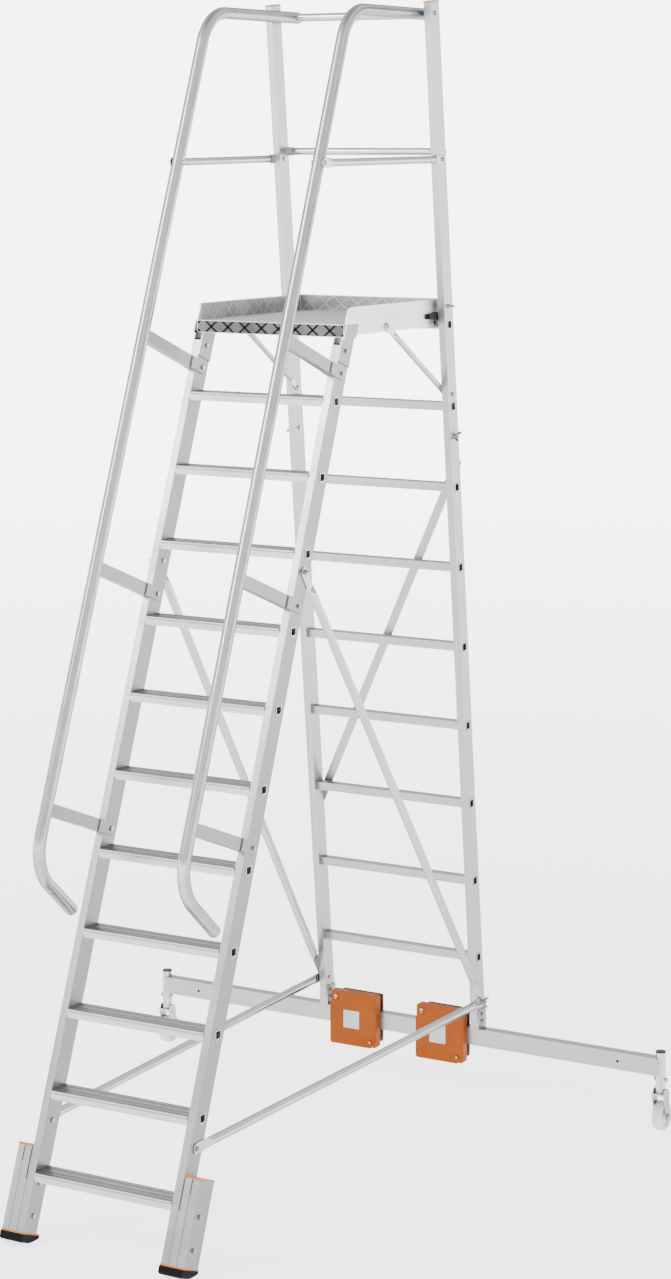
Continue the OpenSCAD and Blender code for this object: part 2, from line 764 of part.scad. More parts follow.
module fork(side) {
    crown_half = 22;
    outer = fork_in + fork_t;
    color([0.66, 0.67, 0.68]) on_side(side) translate([tube_x, 0, 0]) difference() {
        union() {
            for (x = [-outer, fork_in])
                translate([x, wheel_y, wheel_dia / 2]) yz() linear_extrude(fork_t)
                    cheek_outline();
            box(-outer, beam_y - crown_half, crown_z - 1, outer, beam_y + crown_half,
                crown_z + crown_t);
            translate([0, beam_y, crown_z]) cylinder(h = 7.5, r = tube_r - 1);
            translate([0, beam_y, crown_z]) cylinder(h = stem_top_z - crown_z, r = stem_r);
            translate([0, beam_y, stem_top_z - 4]) cylinder(h = 4, r = 8.5);
        }
        translate([0, wheel_y, wheel_dia / 2]) rod_x(-outer - 1, outer + 1, axle_r + 0.1);
    }
}

module axle(side) {
    outer = fork_in + fork_t;
    color([0.62, 0.63, 0.65]) on_side(side) translate([tube_x, wheel_y, wheel_dia / 2]) {
        rod_x(-outer, outer + 7, axle_r);
        for (x = [-outer - 5, outer])
            translate([x, 0, 0]) rotate([0, 90, 0]) cylinder(h = 5, r = 10, $fn = 6);
    }
}

module wheel(side) {
    r = wheel_dia / 2;
    half = wheel_w / 2;
    hub = fork_in - 1;
    bore = axle_r + running_gap;
    color([0.86, 0.86, 0.85]) on_side(side) translate([tube_x, wheel_y, r])
        rotate([0, 90, 0]) rotate_extrude($fn = 96)
        polygon([[bore, -hub], [16, -hub], [18, -hub + 2], [19, -11], [r - 16, -10],
                 [r - 13, -half + 1], [r - 11, -half], [r - 4, -half], [r - 1.2, -half + 3],
                 [r, -half + 8], [r, half - 8], [r - 1.2, half - 3], [r - 4, half],
                 [r - 11, half], [r - 13, half - 1], [r - 16, 10], [19, 11],
                 [18, hub - 2], [16, hub], [bore, hub]]);
}

// ---- Ballast ----

module ballast(side) {
    half = ballast_w / 2;
    y0 = beam_y - beam_d / 2 - ballast_t;
    color([0.77, 0.39, 0.14]) translate([side * ballast_x, y0 + ballast_t, ballast_z0])
        rotate([90, 0, 0]) difference() {
            linear_extrude(ballast_t) difference() {
                polygon(rounded([[-half, 0, 9], [half - 26, 0, 1], [half - 24, 4, 1], [half, 4, 9],
                                 [half, ballast_h, 9], [4 - half, ballast_h, 9],
                                 [4 - half, ballast_h - 44, 2], [-half, ballast_h - 48, 2]], 5));
                for (p = ballast_screws) translate(p) circle(r = shank_r + 0.2);
            }
            translate([label_at[0] - label_l / 2, label_at[1] - label_l / 2, ballast_t - 0.6])
                cube([label_l, label_l, 5]);
        }
}

// Plates behind the beam that the ballast screws pull against.
module ballast_clamps() {
    half = 84;
    color([0.42, 0.16, 0.08]) both_sides_of_beam() difference() {
        rotate([90, 0, 0]) linear_extrude(5) difference() {
            polygon(rounded(box_pts(-half, 10, half, ballast_h - 10, 8), 4));
            for (p = ballast_screws) translate(p) circle(r = shank_r + 0.2);
        }
    }
}

// Places a clamp behind the beam at both blocks.
module both_sides_of_beam() for (s = [-1, 1])
    translate([s * ballast_x, beam_y + beam_d / 2 + 5, ballast_z0]) children();

// ---- Latches ----

module latch(side) {
    back = 66;
    color([0.10, 0.10, 0.11]) on_side(side)
        translate([latch_x0, latch_pin_y, latch_pin_z]) difference() {
            yz() linear_extrude(latch_t) difference() {
                polygon(rounded([[-9, -9, 5], [back, -14, 4], [back + 4, 6, 4], [back - 4, 13, 5],
                                 [10, 9, 6], [-9, 9, 6]], 4));
                rest = [rest_pin_y - latch_pin_y, rest_pin_z - latch_pin_z];
                translate(rest) circle(r = shank_r + 5);
                translate(rest + [-4.5, -30]) square([9, 30]);
            }
            rod_x(-1, latch_t + 1, shank_r + running_gap);
        }
}

// ---- Fixings ----

// A bolt along x: hexagon head inside, nut outside, or a long plain end for a wing nut.
module bolt_x(x0, x1, wing = false) {
    end_l = wing ? 17 : 8;
    rod_x(x0 - 1, x1 + end_l, shank_r);
    hex_x(x0 - head_h, x0);
    if (wing) rod_x(x1, x1 + 1.5, 9);
    else hex_x(x1, x1 + 6);
}

// A rivet with a round head, whose head sits on the plane y = y1.
module rivet_y(y0, y1) {
    rod_y(y0, y1 + 1, shank_r);
    rod_y(y1, y1 + 3, 7);
}

module fixings() {
    mid = (post_in + post_out) / 2;
    inner = stile_in - tab_t;
    outer = stile_out + tab_t;
    color([0.60, 0.61, 0.63]) {
        both_sides() {
            front_frame() {
                for (s = concat(bracket_s, [cheek_bolt_s])) translate([0, 0, s])
                    bolt_x(inner, outer);
                translate([0, 0, low_bolt_s]) bolt_x(stile_in, outer);
                translate([0, 0, diagonal_bolt_s]) bolt_x(stile_in, outer, true);
                for (s = sleeve_bolts) translate([0, 0, s]) bolt_x(stile_in, sleeve_out);
            }
            rear_frame() {
                translate([0, 0, brace_bolt_s]) bolt_x(post_in, post_out + 2 * tab_t, true);
                translate([0, 0, wing_bolt_s]) bolt_x(post_in, post_out, true);
                translate([0, 0, clip_bolt_s]) {
                    bolt_x(post_in, post_out);
                    rod_x(post_out + head_h - 1, post_out + 24, shank_r);
                }
                translate([0, 0, strut_bolt_s]) bolt_x(post_in - tab_t, post_out);
                translate([0, 0, mid_bolt_s]) bolt_x(post_in, post_out + tab_t);
                translate([0, 0, rail_bolt_s]) {
                    bolt_x(rail_x - rail_r, post_out);
                    difference() {
                        rod_x(rail_x + rail_r + 0.1, post_in, 8);
                        rod_x(rail_x, post_in + 1, shank_r);
                    }
                }
                for (s = socket_bolts) translate([0, 0, s])
                    bolt_x(post_in - tab_t, post_out + tab_t);
                translate([mid, 0, rear_mid_s]) rivet_y(post_d / 2 - 8, post_d / 2 + tab_t);
            }
            translate([0, mid_front_y, mid_front_z])
                bolt_x(rail_x - rail_r, rail_x + rail_r + tab_t);
            translate([0, crossbar_y, crossbar_z()]) {
                rod_x(rail_x - 45, rail_x + rail_r + 1, shank_r);
                hex_x(rail_x + rail_r, rail_x + rail_r + head_h);
            }
            translate([0, strut_y, strut_z]) bolt_x(board_in, board_out + tab_t);
            translate([0, latch_pin_y, latch_pin_z]) pin_x();
            translate([0, rest_pin_y, rest_pin_z]) pin_x();
            translate([tube_x, beam_y, 180]) {
                rod_x(-tube_r - 1, tube_r + 8, shank_r);
                hex_x(-tube_r - head_h, -tube_r);
                hex_x(tube_r, tube_r + 7);
            }
        }
        rear_frame() {
            translate([mid, 0, bar_high_s]) rivet_y(post_d / 2 - 8, post_d / 2 + tab_t);
            translate([-mid, 0, bar_low_s]) rivet_y(post_d / 2 - 8, post_d / 2 + tab_t);
        }
        for (s = [-1, 1], p = ballast_screws)
            translate([s * ballast_x + p[0], beam_y, ballast_z0 + p[1]]) {
                rod_y(-beam_d / 2 - ballast_t - 1, beam_d / 2 + 8, shank_r);
                rod_y(-beam_d / 2 - ballast_t - 4, -beam_d / 2 - ballast_t, 7);
                rod_y(beam_d / 2 + 5, beam_d / 2 + 9, 7);
            }
    }
}

// A pin in the side board, sunk inside and headed past the latch.
module pin_x() {
    rod_x(board_in + 1, latch_x0 + latch_t + 0.6, shank_r);
    rod_x(latch_x0 + latch_t + 0.4, latch_x0 + latch_t + 1.6, 5.8);
}

// ---- Wing nuts ----

// A wing nut whose base is on x = 0 and whose wings flare away from it.
module wing_nut(turn = 0) {
    wing_t = 3;
    color([0.62, 0.63, 0.65]) rotate([turn, 0, 0]) difference() {
        union() {
            rod_x(0, 9, 8);
            for (flip = [0, 180]) rotate([flip, 0, 0]) translate([0, 0, wing_t / -2])
                linear_extrude(wing_t) polygon(rounded([[1, 5, 0.5], [8, 5, 0.5], [20, 13, 3],
                                                        [21, 20, 4], [12, 19, 3], [2, 11, 2]], 4));
        }
        rod_x(-1, 30, shank_r + running_gap);
    }
}

module wing_nut_diagonal(side) on_side(side) front_frame()
    translate([stile_out + tab_t + 1.8, 0, diagonal_bolt_s]) wing_nut(20);
module wing_nut_brace(side) on_side(side) rear_frame()
    translate([post_out + 2 * tab_t + 1.8, 0, brace_bolt_s]) wing_nut(70);
module wing_nut_post(side) on_side(side) rear_frame()
    translate([post_out + 1.8, 0, wing_bolt_s]) wing_nut(45);

front_stile(-1);  // front_stile_left
front_stile(1);  // front_stile_right
for (k = [1:tread_count]) tread(k);
rear_stile(-1);  // rear_stile_left
rear_stile(1);  // rear_stile_right
rear_rungs();
post_caps();
rear_diagonal_bar();
foot_sleeve(-1);  // foot_sleeve_left
foot_sleeve(1);  // foot_sleeve_right
foot_trims();
foot_shoe(-1);  // foot_shoe_left
foot_shoe(1);  // foot_shoe_right
deck();
deck_stiffeners();
deck_side(-1);  // deck_side_left
deck_side(1);  // deck_side_right
deck_back_board();
deck_cheeks();
deck_struts();
latch(-1);  // latch_left
latch(1);  // latch_right
handrail(-1);  // handrail_left
handrail(1);  // handrail_right
handrail_brackets();
top_crossbar();
mid_rails();
low_braces();
diagonal_braces();
traverse_beam();
stile_sockets();
castor_tubes();
castor_plugs();
castor_caps();
ballast(-1);  // ballast_left
ballast(1);  // ballast_right
ballast_clamps();
fork(-1);  // fork_left
fork(1);  // fork_right
axle(-1);  // axle_left
axle(1);  // axle_right
wheel(-1);  // wheel_left
wheel(1);  // wheel_right
fixings();
wing_nut_diagonal(-1);  // wing_nut_diagonal_left
wing_nut_diagonal(1);  // wing_nut_diagonal_right
wing_nut_brace(-1);  // wing_nut_brace_left
wing_nut_brace(1);  // wing_nut_brace_right
wing_nut_post(-1);  // wing_nut_post_left
wing_nut_post(1);  // wing_nut_post_right
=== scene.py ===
"""Looks of the mobile ladder stand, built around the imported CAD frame."""
import json
import math

import bmesh
import bpy
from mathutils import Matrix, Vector


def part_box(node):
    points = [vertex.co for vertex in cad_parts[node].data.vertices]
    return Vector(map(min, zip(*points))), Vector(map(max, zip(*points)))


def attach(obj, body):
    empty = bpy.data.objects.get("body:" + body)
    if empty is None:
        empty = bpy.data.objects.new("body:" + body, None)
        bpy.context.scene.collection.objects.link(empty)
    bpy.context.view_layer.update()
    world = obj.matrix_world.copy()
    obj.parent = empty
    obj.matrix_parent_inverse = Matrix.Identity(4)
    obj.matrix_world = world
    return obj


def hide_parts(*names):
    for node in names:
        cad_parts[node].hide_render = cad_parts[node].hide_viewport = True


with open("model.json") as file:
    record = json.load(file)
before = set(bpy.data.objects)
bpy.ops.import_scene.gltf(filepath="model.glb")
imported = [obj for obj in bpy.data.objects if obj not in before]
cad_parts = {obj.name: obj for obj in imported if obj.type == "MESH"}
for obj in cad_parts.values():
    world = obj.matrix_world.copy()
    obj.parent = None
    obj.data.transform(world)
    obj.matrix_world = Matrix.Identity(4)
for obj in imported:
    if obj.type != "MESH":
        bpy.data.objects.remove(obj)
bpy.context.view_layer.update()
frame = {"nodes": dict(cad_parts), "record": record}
NODES = frame["nodes"]
SLOTS = {row["node"]: row["material_slot"] for row in frame["record"]["subparts"]}

MM = 0.001
FRONT_TILT = math.radians(21)
REAR_TILT = math.radians(-6)
FRONT_Y = -0.977989
REAR_Y = 0.975811


# ---- Camera: the photograph's viewpoint ----

IMAGE_LONG_SIDE = 1279
FOCAL_PX = 2973.3
OPTICAL_AXIS_UP = 245.1
AZIMUTH = math.radians(29.94)
PITCH = math.radians(4.85)
EYE = (4.9722, -8.1613, 3.3546)

camera_data = bpy.data.cameras.new("camera")
camera = bpy.data.objects.new("camera", camera_data)
bpy.context.scene.collection.objects.link(camera)
camera_data.sensor_width = 36
camera_data.sensor_fit = "AUTO"
camera_data.lens = 36 * FOCAL_PX / IMAGE_LONG_SIDE
camera_data.shift_y = -OPTICAL_AXIS_UP / IMAGE_LONG_SIDE
camera.location = EYE
camera.rotation_euler = (math.pi / 2 - PITCH, 0, AZIMUTH)
bpy.context.scene.camera = camera


# ---- Floor and light ----

def add_area_light(name, place, aim, size, power):
    data = bpy.data.lights.new(name, "AREA")
    data.shape = "RECTANGLE"
    data.size, data.size_y = size
    data.energy = power
    lamp = bpy.data.objects.new(name, data)
    lamp.location = place
    lamp.rotation_euler = (Vector(aim) - Vector(place)).to_track_quat("-Z", "Y").to_euler()
    bpy.context.scene.collection.objects.link(lamp)


def ramp(tree, source, low, high, stops):
    """A grey ramp over a value: stops are (value, brightness)."""
    spread = tree.nodes.new("ShaderNodeMapRange")
    spread.inputs["From Min"].default_value = low
    spread.inputs["From Max"].default_value = high
    tree.links.new(source, spread.inputs["Value"])
    node = tree.nodes.new("ShaderNodeValToRGB")
    elements = node.color_ramp.elements
    while len(elements) < len(stops):
        elements.new(0.5)
    for element, (value, grey) in zip(elements, stops):
        element.position = (value - low) / (high - low)
        element.color = (grey, grey, grey, 1)
    tree.links.new(spread.outputs["Result"], node.inputs["Fac"])
    return node.outputs["Color"]


def add_floor():
    """A pale floor that brightens with distance until it meets the backdrop."""
    half = 60
    mesh = bpy.data.meshes.new("floor")
    mesh.from_pydata([(-half, -half, 0), (half, -half, 0), (half, half, 0), (-half, half, 0)],
                     [], [(0, 1, 2, 3)])
    floor = bpy.data.objects.new("floor", mesh)
    bpy.context.scene.collection.objects.link(floor)
    paint = bpy.data.materials.new("floor_pale")
    paint.use_nodes = True
    tree = paint.node_tree
    shader = tree.nodes["Principled BSDF"]
    shader.inputs["Roughness"].default_value = 0.9
    shader.inputs["Specular IOR Level"].default_value = 0.1
    place = tree.nodes.new("ShaderNodeTexCoord").outputs["Object"]
    reach = tree.nodes.new("ShaderNodeVectorMath")
    reach.operation = "LENGTH"
    tree.links.new(place, reach.inputs[0])
    grey = ramp(tree, reach.outputs["Value"], 0, 24, [(3, 0.82), (20, 0.0)])
    glow = ramp(tree, reach.outputs["Value"], 0, 24, [(3, FLOOR_NEAR / BACKDROP), (20, 1.0)])
    tree.links.new(grey, shader.inputs["Base Color"])
    tree.links.new(glow, shader.inputs["Emission Color"])
    shader.inputs["Emission Strength"].default_value = BACKDROP
    mesh.materials.append(paint)


def add_backdrop():
    """A white horizon, a dark band above it and a broad soft ceiling."""
    world = bpy.data.worlds.new("studio")
    bpy.context.scene.world = world
    world.use_nodes = True
    tree = world.node_tree
    sky = tree.nodes["Background"]
    way = tree.nodes.new("ShaderNodeTexCoord").outputs["Generated"]
    split = tree.nodes.new("ShaderNodeSeparateXYZ")
    tree.links.new(way, split.inputs[0])
    grey = ramp(tree, split.outputs["Z"], -1, 1,
                [(0.1, 1.0), (0.15, 0.3), (0.2, 0.16), (0.27, 0.16), (0.36, 0.36), (0.7, 0.36),
                 (1, 0.12)])
    tree.links.new(grey, sky.inputs["Color"])
    sky.inputs["Strength"].default_value = BACKDROP


BACKDROP = 6.5
FLOOR_NEAR = 2.2
add_floor()
add_backdrop()
add_area_light("key", (-4.5, -6, 7), (0, 0, 1.8), (2.2, 4), 620)


# ---- Materials ----

class Paint:
    """A Principled material and short ways to add procedural detail to it."""

    def __init__(self, name, colour, roughness, metallic=0.0):
        self.material = bpy.data.materials.new(name)
        self.material.use_nodes = True
        self.tree = self.material.node_tree
        self.shader = self.tree.nodes["Principled BSDF"]
        self.colour = colour
        self.set("Base Color", (*colour, 1))
        self.set("Roughness", roughness)
        self.set("Metallic", metallic)
        self.place = self.tree.nodes.new("ShaderNodeTexCoord").outputs["Object"]
        self.height = None

    def set(self, socket, value):
        self.shader.inputs[socket].default_value = value

    def link(self, source, target):
        self.tree.links.new(source, target)

    def mapped(self, scale, turn=(0, 0, 0)):
        """Object coordinates, turned and then stretched."""
        turned = self.tree.nodes.new("ShaderNodeMapping")
        turned.inputs["Rotation"].default_value = turn
        self.link(self.place, turned.inputs["Vector"])
        stretched = self.tree.nodes.new("ShaderNodeMapping")
        stretched.inputs["Scale"].default_value = scale
        self.link(turned.outputs["Vector"], stretched.inputs["Vector"])
        return stretched.outputs["Vector"]

    def noise(self, scale, turn=(0, 0, 0), detail=3, low=0.3, high=0.7):
        """Noise from 0 to 1, stretched between two of its levels."""
        node = self.tree.nodes.new("ShaderNodeTexNoise")
        node.inputs["Scale"].default_value = 1
        node.inputs["Detail"].default_value = detail
        self.link(self.mapped(scale, turn), node.inputs["Vector"])
        spread = self.tree.nodes.new("ShaderNodeMapRange")
        spread.inputs["From Min"].default_value = low
        spread.inputs["From Max"].default_value = high
        self.link(node.outputs["Fac"], spread.inputs["Value"])
        return spread.outputs["Result"]

    def facing(self, axis):
        """1 on faces that look along an axis, either way, and 0 on faces square to it."""
        way = self.tree.nodes.new("ShaderNodeTexCoord").outputs["Normal"]
        split = self.tree.nodes.new("ShaderNodeSeparateXYZ")
        self.link(way, split.inputs[0])
        size = self.tree.nodes.new("ShaderNodeMath")
        size.operation = "ABSOLUTE"
        self.link(split.outputs[axis], size.inputs[0])
        spread = self.tree.nodes.new("ShaderNodeMapRange")
        spread.inputs["From Min"].default_value = 0.3
        spread.inputs["From Max"].default_value = 0.8
        self.link(size.outputs[0], spread.inputs["Value"])
        return spread.outputs["Result"]

    def tint(self, fac, colour, share=1.0):
        """Mixes a colour in where fac is high, over what the base colour was."""
        mix = self.tree.nodes.new("ShaderNodeMix")
        mix.data_type = "RGBA"
        mix.clamp_factor = True
        weight = self.tree.nodes.new("ShaderNodeMath")
        weight.operation = "MULTIPLY"
        weight.inputs[1].default_value = share
        self.link(fac, weight.inputs[0])
        self.link(weight.outputs[0], mix.inputs["Factor"])
        base = self.shader.inputs["Base Color"]
        if base.is_linked:
            self.link(base.links[0].from_socket, mix.inputs["A"])
        else:
            mix.inputs["A"].default_value = (*self.colour, 1)
        mix.inputs["B"].default_value = (*colour, 1)
        self.link(mix.outputs["Result"], base)
        return self

    def rough(self, fac, low, high):
        spread = self.tree.nodes.new("ShaderNodeMapRange")
        spread.inputs["To Min"].default_value = low
        spread.inputs["To Max"].default_value = high
        self.link(fac, spread.inputs["Value"])
        self.link(spread.outputs["Result"], self.shader.inputs["Roughness"])
        return self

    def bump(self, fac, depth_mm, strength=1.0):
        node = self.tree.nodes.new("ShaderNodeBump")
        node.inputs["Strength"].default_value = strength
        node.inputs["Distance"].default_value = depth_mm * MM
        self.link(fac, node.inputs["Height"])
        if self.height is not None:
            self.link(self.height, node.inputs["Normal"])
        self.height = node.outputs["Normal"]
        self.link(self.height, self.shader.inputs["Normal"])
        return self


def extruded_metal(name, colour, roughness, turn=(0, 0, 0), along="Z", banding=0.7, painted_flat_shade=0.0,
                   painted_side_shade=0.0):
    """Aluminium drawn through a die: hair lines along it, faint stains across it; where asked,
    painted shade on faces looking up or down or sideways along x.
    """
    scales = {"X": (2.5, 700, 700), "Y": (700, 2.5, 700), "Z": (700, 700, 2.5)}
    broad = {"X": (0.7, 110, 110), "Y": (110, 0.7, 110), "Z": (110, 110, 0.7)}
    paint = Paint(name, colour, roughness, 1.0)
    paint.set("Specular Tint", (0.6, 0.6, 0.6, 1))
    lines = paint.noise(scales[along], turn, detail=4)
    bands = paint.noise(broad[along], turn, detail=3)
    paint.tint(bands, tuple(c * 0.7 for c in colour), banding)
    clouds = paint.noise((5, 5, 5), turn, detail=5)
    specks = paint.noise((120, 120, 120), turn, detail=2, low=0.62, high=0.75)
    paint.tint(lines, tuple(c * 0.86 for c in colour), 0.5)
    paint.tint(clouds, tuple(min(1, c * 1.08) for c in colour), 0.5)
    paint.tint(specks, tuple(c * 0.8 for c in colour), 0.25)
    # Painted shade: faces looking up or down, such as the tread tops, are darkened.
    if painted_flat_shade:
        paint.tint(paint.facing("Z"), tuple(c * 0.55 for c in colour), painted_flat_shade)
    # Painted shade: faces looking sideways along x, such as the stile sides, are darkened.
    if painted_side_shade:
        paint.tint(paint.facing("X"), tuple(c * 0.5 for c in colour), painted_side_shade)
    paint.rough(clouds, roughness * 0.85, roughness * 1.25)
    paint.bump(lines, 0.02, 0.35)
    return paint.material


def drawn_tube(name, colour, roughness, painted_reflection_streaks=0.0):
    """Bright tube: soft cloudiness and small scuffs, and, where asked, dark streaks along it as
    painted reflection.
    """
    paint = Paint(name, colour, roughness, 1.0)
    # Painted reflection: dark streaks running along the tube.
    if painted_reflection_streaks:
        lines = paint.noise((190, 0.3, 0.3), detail=2, low=0.4, high=0.62)
        paint.tint(lines, tuple(c * 0.45 for c in colour), painted_reflection_streaks)
    paint.set("Specular Tint", (0.4, 0.4, 0.4, 1))
    clouds = paint.noise((9, 9, 9), detail=6)
    scuffs = paint.noise((36, 36, 36), detail=4, low=0.56, high=0.74)
    paint.tint(clouds, tuple(c * 0.86 for c in colour), 0.6)
    paint.tint(scuffs, tuple(min(1, c * 1.1) for c in colour), 0.3)
    paint.rough(clouds, roughness * 0.85, roughness * 1.35)
    paint.bump(scuffs, 0.004, 0.05)
    return paint.material


def coated(name, colour, dark, roughness, metallic=0.0, grain=420, depth=0.05, gloss=0.5):
    """Paint or moulded plastic: orange peel or grain, a little darkening in clouds."""
    paint = Paint(name, colour, roughness, metallic)
    paint.set("Specular IOR Level", gloss)
    peel = paint.noise((grain, grain, grain), detail=2)
    clouds = paint.noise((14, 14, 14), detail=5)
    paint.tint(clouds, dark, 0.35)
    paint.tint(peel, dark, 0.12)
    paint.rough(clouds, roughness * 0.85, roughness * 1.2)
    paint.bump(peel, depth, 0.4)
    return paint.material


def pressed_sheet(name, dark, pale, metallic=0.9):
    """Sheet between the pressed bars: finely grained and patchy."""
    paint = Paint(name, dark, 0.42, metallic)
    patches = paint.noise((7, 7, 7), detail=2, low=0.42, high=0.6)
    grain = paint.noise((260, 260, 260), detail=2)
    paint.tint(patches, pale, 0.8)
    paint.tint(grain, tuple(c * 0.7 for c in dark), 0.4)
    paint.rough(patches, 0.35, 0.5)
    paint.bump(grain, 0.08, 0.4)
    return paint.material


STILE = (0.33, 0.334, 0.34)
BLACK, BLACK_CLOUD = (0.002, 0.002, 0.0022), (0.004, 0.004, 0.0044)
MATERIALS = {
    # The front stiles' sides carry painted shade.
    "stile_front": extruded_metal("stile_front", STILE, 0.36, (FRONT_TILT, 0, 0), painted_side_shade=0.7),
    "stile_rear": extruded_metal("stile_rear", STILE, 0.36, (REAR_TILT, 0, 0)),
    "beam": extruded_metal("beam", STILE, 0.36, along="X"),
    # The tread tops carry painted shade, darker than their fronts.
    "tread_alloy": extruded_metal("tread_alloy", (0.42, 0.424, 0.43), 0.36, along="X",
                                  painted_flat_shade=0.35),
    "deck_plate": extruded_metal("deck_plate", (0.55, 0.555, 0.56), 0.4, along="Y"),
    "tube_alloy": drawn_tube("tube_alloy", (0.4, 0.405, 0.415), 0.22),
    # The rails and castor tubes carry painted reflection streaks.
    "rail": drawn_tube("rail", (0.38, 0.385, 0.395), 0.26, painted_reflection_streaks=0.8),
    "castor_tube": drawn_tube("castor_tube", (0.5, 0.505, 0.515), 0.22, painted_reflection_streaks=0.9),
    # Painted shade for the floors of the tread grooves.
    "groove": coated("groove", (0.16, 0.16, 0.163), (0.09, 0.09, 0.092), 0.45, 0.8),
    "fold_sheet": pressed_sheet("fold_sheet", (0.05, 0.052, 0.055), (0.13, 0.132, 0.136), 0.5),
    "board_sheet": pressed_sheet("board_sheet", (0.24, 0.242, 0.246), (0.34, 0.342, 0.346)),
    "pattern_dark": coated("pattern_dark", BLACK, (0.006, 0.006, 0.0066), 0.6, gloss=0.08),
    "pattern_pale": coated("pattern_pale", (0.46, 0.46, 0.47), (0.34, 0.34, 0.35), 0.35, 0.8),
    "label": coated("label", (0.36, 0.36, 0.35), (0.3, 0.3, 0.29), 0.6),
    "orange_plastic": coated("orange_plastic", (0.36, 0.11, 0.003), (0.28, 0.08, 0.002), 0.42,
                             gloss=0.3),
    "black_plastic": coated("black_plastic", BLACK, BLACK_CLOUD, 0.45, gloss=0.12),
    "shoe_rubber": coated("shoe_rubber", (0.0018, 0.0016, 0.0015), (0.004, 0.0036, 0.0034), 0.65,
                          gloss=0.08),
    "latch_black": coated("latch_black", BLACK, BLACK_CLOUD, 0.5, gloss=0.08),
    "ballast_paint": coated("ballast_paint", (0.2, 0.04, 0.0003), (0.15, 0.028, 0.0002), 0.5,
                            grain=160, depth=0.2, gloss=0.12),
    "cap_paint": coated("cap_paint", (0.5, 0.2, 0.06), (0.4, 0.14, 0.03), 0.4),
    "clamp_paint": coated("clamp_paint", (0.1, 0.024, 0.004), (0.07, 0.015, 0.003), 0.5),
    "zinc_steel": drawn_tube("zinc_steel", (0.4, 0.405, 0.42), 0.3),
    "wheel_plastic": coated("wheel_plastic", (0.5, 0.5, 0.48), (0.4, 0.4, 0.38), 0.35),
    "plug_plastic": coated("plug_plastic", (0.3, 0.3, 0.305), (0.22, 0.22, 0.225), 0.5),
}
REAR_PARTS = ("rear_stile_left", "rear_stile_right", "rear_diagonal_bar")
BEAM_PARTS = ("traverse_beam", "rear_rungs")


def material_for(node):
    slot = SLOTS[node]
    if node == "castor_tubes":
        return MATERIALS["castor_tube"]
    if slot != "stile_alloy":
        return MATERIALS[slot]
    if node in REAR_PARTS:
        return MATERIALS["stile_rear"]
    return MATERIALS["beam" if node in BEAM_PARTS else "stile_front"]


for node_name, node_object in NODES.items():
    node_object.data.materials.clear()
    node_object.data.materials.append(material_for(node_name))


# ---- Pieces ----

def front(x, h, s):
    """A point in the front stiles' frame: h behind their line, s up it."""
    return Vector((x, FRONT_Y + h * math.cos(FRONT_TILT) + s * math.sin(FRONT_TILT),
                   s * math.cos(FRONT_TILT) - h * math.sin(FRONT_TILT)))


def rear(x, h, s):
    return Vector((x, REAR_Y + h * math.cos(REAR_TILT) + s * math.sin(REAR_TILT),
                   s * math.cos(REAR_TILT) - h * math.sin(REAR_TILT)))


def add_piece(name, form, material, body="stand", stands_for=(), sharp=35):
    """Makes an object of a bmesh, smooth apart from edges sharper than so many degrees."""
    bmesh.ops.recalc_face_normals(form, faces=form.faces)
    for face in form.faces:
        face.smooth = True
    for edge in form.edges:
        edge.smooth = len(edge.link_faces) == 2 and edge.calc_face_angle(0) < math.radians(sharp)
    mesh = bpy.data.meshes.new(name)
    form.to_mesh(mesh)
    form.free()
    mesh.materials.append(material)
    piece = bpy.data.objects.new(name, mesh)
    bpy.context.scene.collection.objects.link(piece)
    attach(piece, body)
    if stands_for:
        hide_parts(*stands_for)
    return piece


def angles(count, start=0.0):
    """Evenly spaced angles round a circle."""
    return [math.tau * (i + start) / count for i in range(count)]


def skin(form, rings, caps=True):
    """Joins rings of as many vertices each with faces, and closes the two ends."""
    rows = [[form.verts.new(point) for point in ring] for ring in rings]
    count = len(rows[0])
    for low, high in zip(rows, rows[1:]):
        for i in range(count):
            j = (i + 1) % count
            form.faces.new((low[i], low[j], high[j], high[i]))
    if caps:
        form.faces.new(rows[0][::-1])
        form.faces.new(rows[-1])
    return rows


def add_hollow(form, outer, inner):
    """A tube wall between two sets of rings."""
    out_rows = skin(form, outer, caps=False)
    in_rows = skin(form, inner, caps=False)
    count = len(out_rows[0])
    for a, b in ((out_rows[0], in_rows[0]), (out_rows[-1], in_rows[-1])):
        for i in range(count):
            j = (i + 1) % count
            form.faces.new((a[i], a[j], b[j], b[i]))


# Handrails: a 40 mm tube, straight along the stiles with a bend at each end.
RAIL_X, RAIL_GAP, RAIL_R, RAIL_WALL = 0.262, 0.35, 0.02, 0.0025
LOW_BEND_R, LOW_BEND_S, LOW_TURN, LOW_END = 0.145, 1.1995, 70, 0.16
TOP_BEND_R, TOP_BEND_S, TOP_TURN, TOP_END = 0.147, 3.8113, 69, 0.4677


